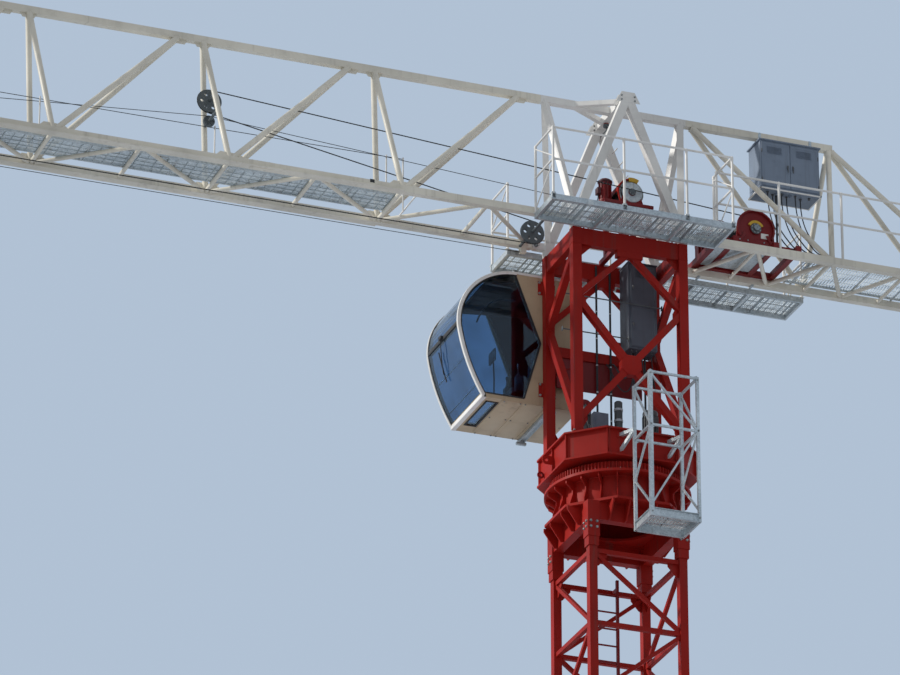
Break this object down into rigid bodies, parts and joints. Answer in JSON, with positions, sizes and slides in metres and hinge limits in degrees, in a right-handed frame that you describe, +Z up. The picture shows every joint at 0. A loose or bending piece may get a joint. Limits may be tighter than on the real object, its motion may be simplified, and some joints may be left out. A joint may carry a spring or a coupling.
{
  "type": "tower crane",
  "caption": "Flat-top tower crane with lattice mast, slewing turret with cab and access cage, triangular jib with trolley and hook, counter-jib with winches and weights.",
  "frame": {"origin": "on the ground in the crane's slewing axis, on the underside of the base frame", "axes": "+Z up along the mast, jib along -X, cab on the +Y side, access cage on the -Y side"},
  "size_m": [27.8033, 4.4406, 26.773],
  "materials": {
    "red_steel": "weathered gloss paint",
    "dark_red": "gloss paint",
    "white_steel": "satin paint",
    "cream_steel": "satin paint",
    "yellow_steel": "gloss paint",
    "galvanised": "hot-dip galvanised",
    "grey_machine": "satin paint",
    "cab_panel": "satin paint",
    "cab_glass": "tinted glass",
    "concrete": "rough, stands for concrete",
    "drum_steel": "greased steel",
    "cabinet_grey": "powder coat",
    "black_cable": "matt sheath",
    "wire_rope": "greased wire"
  },
  "bodies": {
    "fixed_tower": {"base_frame": "red_steel", "mast_legs": "red_steel", "mast_near_lattice": "red_steel", "mast_far_lattice": "red_steel", "mast_left_lattice": "red_steel", "mast_right_lattice": "red_steel", "mast_ladder": "galvanised", "slewing_support": "red_steel"},
    "slewing_part": {"slewing_frame": "red_steel", "slewing_motors": "grey_machine", "turret_frame": "red_steel", "turret_near_bracing": "red_steel", "turret_far_bracing": "red_steel", "turret_side_bracing": "red_steel", "access_cage": "galvanised", "cab_body": "cab_panel", "cab_front_glass": "cab_glass", "cab_side_glass": "cab_glass", "cab_guard_bars": "white_steel", "near_platform": "galvanised", "near_guard_rail": "white_steel", "far_walkway": "galvanised", "far_guard_rail": "white_steel", "a_frames": "white_steel", "jib_top_chord": "cream_steel", "jib_bottom_chords": "cream_steel", "jib_near_lattice": "cream_steel", "jib_far_lattice": "cream_steel", "jib_bottom_lattice": "cream_steel", "jib_walkway": "galvanised", "counter_jib_chords": "cream_steel", "counter_jib_lattice": "cream_steel", "counter_jib_rail": "white_steel", "counterweights": "concrete", "hoist_winch_frame": "dark_red", "hoist_motor": "dark_red", "trolley_winch": "dark_red", "electrical_cabinet": "cabinet_grey", "control_cabinet": "cabinet_grey", "power_cables": "black_cable", "jib_trolley": "white_steel", "hook_block": "yellow_steel", "rope_sheaves": "drum_steel", "hoist_rope": "wire_rope", "trolley_rope": "wire_rope"},
    "hoist_drum_body": {"hoist_drum": "drum_steel"},
    "trolley_drum_body": {"trolley_drum": "drum_steel"}
  },
  "joints": [
    {"name": "slew", "type": "hinge", "parent": "fixed_tower", "child": "slewing_part", "pos_m": [0, 0, 19.64], "axis": [0, 0, 1], "continuous": true},
    {"name": "hoist_drum_spin", "type": "hinge", "parent": "slewing_part", "child": "hoist_drum_body", "pos_m": [2.4, 0, 24.66], "axis": [0, 1, 0], "continuous": true},
    {"name": "trolley_drum_spin", "type": "hinge", "parent": "slewing_part", "child": "trolley_drum_body", "pos_m": [0.24, 0, 25.107], "axis": [0, 1, 0], "continuous": true}
  ]
}
